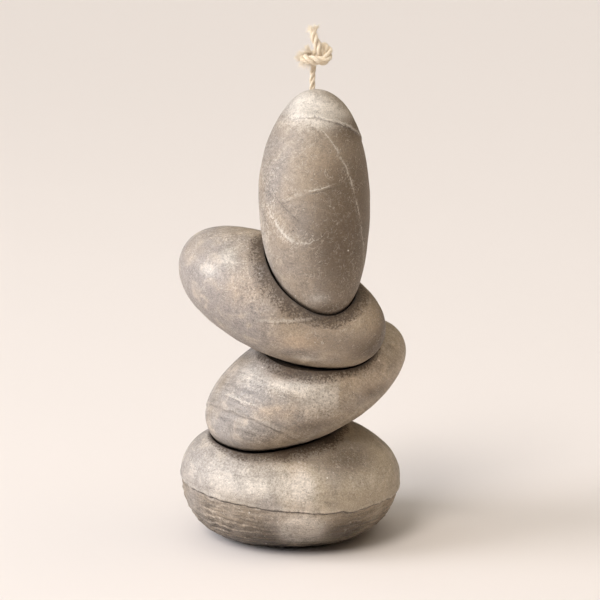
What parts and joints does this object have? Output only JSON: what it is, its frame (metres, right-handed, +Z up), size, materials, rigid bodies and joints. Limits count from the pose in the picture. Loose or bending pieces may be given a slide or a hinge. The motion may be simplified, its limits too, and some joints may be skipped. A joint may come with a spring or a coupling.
{
  "type": "stone cairn candle",
  "caption": "Cairn of smooth grey pebbles balanced on one another, with a knotted cotton wick in the crown; a free-standing candle or ornament.",
  "frame": {"origin": "on the resting plane, under the middle of the stones' bounding box", "axes": "+Z up, the way the cairn stands; seen from the front (looking along +Y), +X is to the right"},
  "size_m": [0.0977, 0.0972, 0.2224],
  "materials": {
    "pebble_stone": "satin, water-worn, with faint bedding lines",
    "cotton_wick": "matt twisted cotton cord"
  },
  "bodies": {
    "root": {"base_stone": "pebble_stone", "lower_stone": "pebble_stone", "upper_stone": "pebble_stone", "top_stone": "pebble_stone", "wick": "cotton_wick"}
  },
  "joints": []
}
